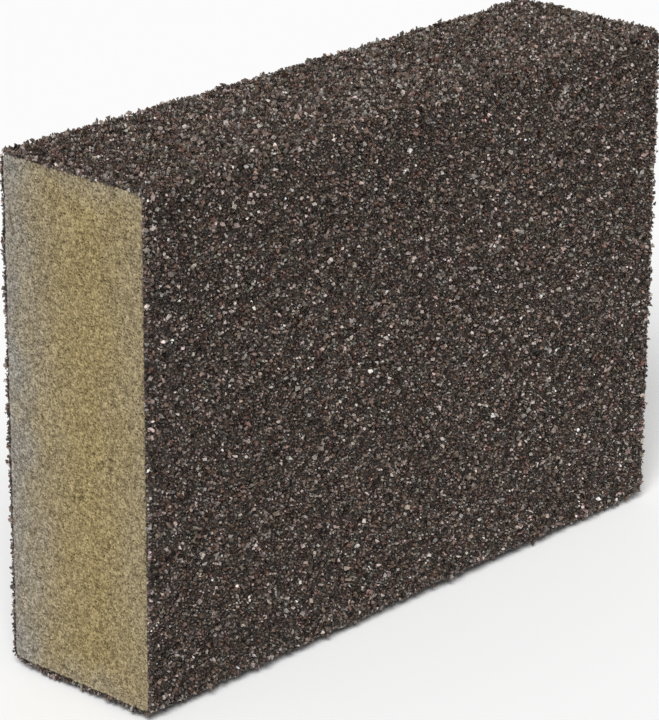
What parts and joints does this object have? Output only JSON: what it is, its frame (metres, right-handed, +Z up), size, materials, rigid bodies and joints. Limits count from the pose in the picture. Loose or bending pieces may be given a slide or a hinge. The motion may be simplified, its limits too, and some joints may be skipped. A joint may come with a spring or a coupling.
{
  "type": "sanding block",
  "caption": "Rectangular foam sanding block with a coarse abrasive coat on its four long sides and bare foam ends, standing on one long edge.",
  "frame": {"origin": "middle of the bottom long edge face, on the surface the block stands on", "axes": "+X along the length between the two bare foam ends, -Y out of the front broad face, +Z up"},
  "size_m": [0.1, 0.026, 0.07],
  "materials": {
    "foam": "open-cell polyurethane foam, olive yellow, matt",
    "bond_resin": "cured dark brown resin film, satin",
    "abrasive_grain": "coarse brown aluminium oxide grains set in dark resin, rough with bright facets"
  },
  "bodies": {
    "root": {"foam_core": "foam", "front_make_coat": "bond_resin", "front_grain_coat": "abrasive_grain", "back_make_coat": "bond_resin", "back_grain_coat": "abrasive_grain", "top_edge_make_coat": "bond_resin", "top_edge_grain_coat": "abrasive_grain", "bottom_edge_make_coat": "bond_resin", "bottom_edge_grain_coat": "abrasive_grain"}
  },
  "joints": []
}
